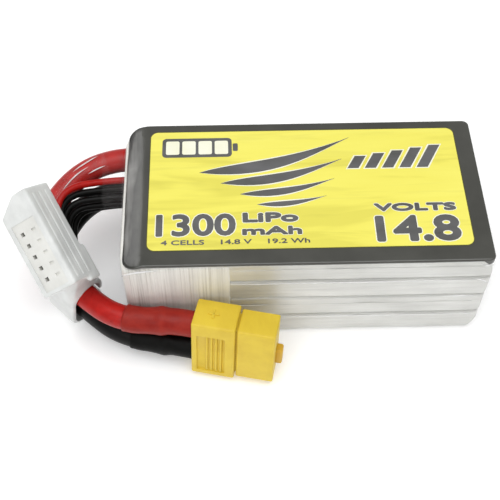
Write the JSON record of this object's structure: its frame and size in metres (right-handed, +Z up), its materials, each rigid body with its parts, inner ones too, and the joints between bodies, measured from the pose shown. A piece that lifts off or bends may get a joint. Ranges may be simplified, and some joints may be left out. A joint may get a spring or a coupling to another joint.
{
  "type": "lipo battery pack",
  "caption": "Film-wrapped brick of flat pouch cells with two short power leads to a two-pole capped connector and thin balance wires to a flat plug held by a clip.",
  "frame": {"origin": "middle of the wrapped cells' underside, without the leads", "axes": "+X along the pack away from the end that the leads leave, +Y to the back, +Z up from the large face that the pack lies on"},
  "size_m": [0.1, 0.0506, 0.0374],
  "materials": {
    "cell_foil": "satin laminated foil",
    "foam_pad": "thin foam tape",
    "aluminium_tab": "rolled strip",
    "nickel_tab": "rolled nickel strip",
    "circuit_board": "solder mask over glass-fibre board",
    "solder": "bright solder",
    "insulating_sheet": "fibre sheet",
    "filament_tape": "film with glass threads",
    "clear_film": "clear shrunk film",
    "dark_label": "glossy printed film",
    "printed_panel": "glossy printed film",
    "red_silicone": "smooth silicone",
    "black_silicone": "smooth silicone",
    "red_heat_shrink": "satin shrunk tube",
    "black_heat_shrink": "satin shrunk tube",
    "thin_wire_black": "smooth silicone",
    "thin_wire_red": "smooth silicone",
    "yellow_nylon": "moulded, fine grain",
    "brass_contact": "gold-plated brass",
    "white_nylon": "moulded",
    "frosted_plastic": "frosted, slightly see-through"
  },
  "bodies": {
    "pack": {"cell_1": "cell_foil", "cell_2": "cell_foil", "cell_3": "cell_foil", "cell_4": "cell_foil", "cell_pad_1": "foam_pad", "cell_pad_2": "foam_pad", "cell_pad_3": "foam_pad", "positive_tabs": "aluminium_tab", "negative_tabs": "nickel_tab", "terminal_board": "circuit_board", "solder_joints": "solder", "end_insulator": "insulating_sheet", "filament_tape": "filament_tape", "shrink_sleeve": "clear_film", "lead_collar": "clear_film", "top_label": "dark_label", "label_panel": "printed_panel", "red_lead": "red_silicone", "black_lead": "black_silicone", "red_heat_shrink": "red_heat_shrink", "black_heat_shrink": "black_heat_shrink", "balance_wire_2": "thin_wire_black", "balance_wire_3": "thin_wire_black", "balance_wire_4": "thin_wire_black", "balance_wire_5": "thin_wire_black", "balance_wire_1": "thin_wire_red", "connector_body": "yellow_nylon", "connector_cover": "yellow_nylon", "positive_socket": "brass_contact", "negative_socket": "brass_contact", "balance_contacts": "brass_contact", "balance_plug": "white_nylon", "balance_clip": "frosted_plastic"},
    "cap": {"connector_cap": "yellow_nylon"}
  },
  "joints": [
    {"name": "cap_slide", "type": "slide", "parent": "pack", "child": "cap", "axis": [0.9767, -0.2147, 0], "range_m": [0, 0.03]}
  ]
}
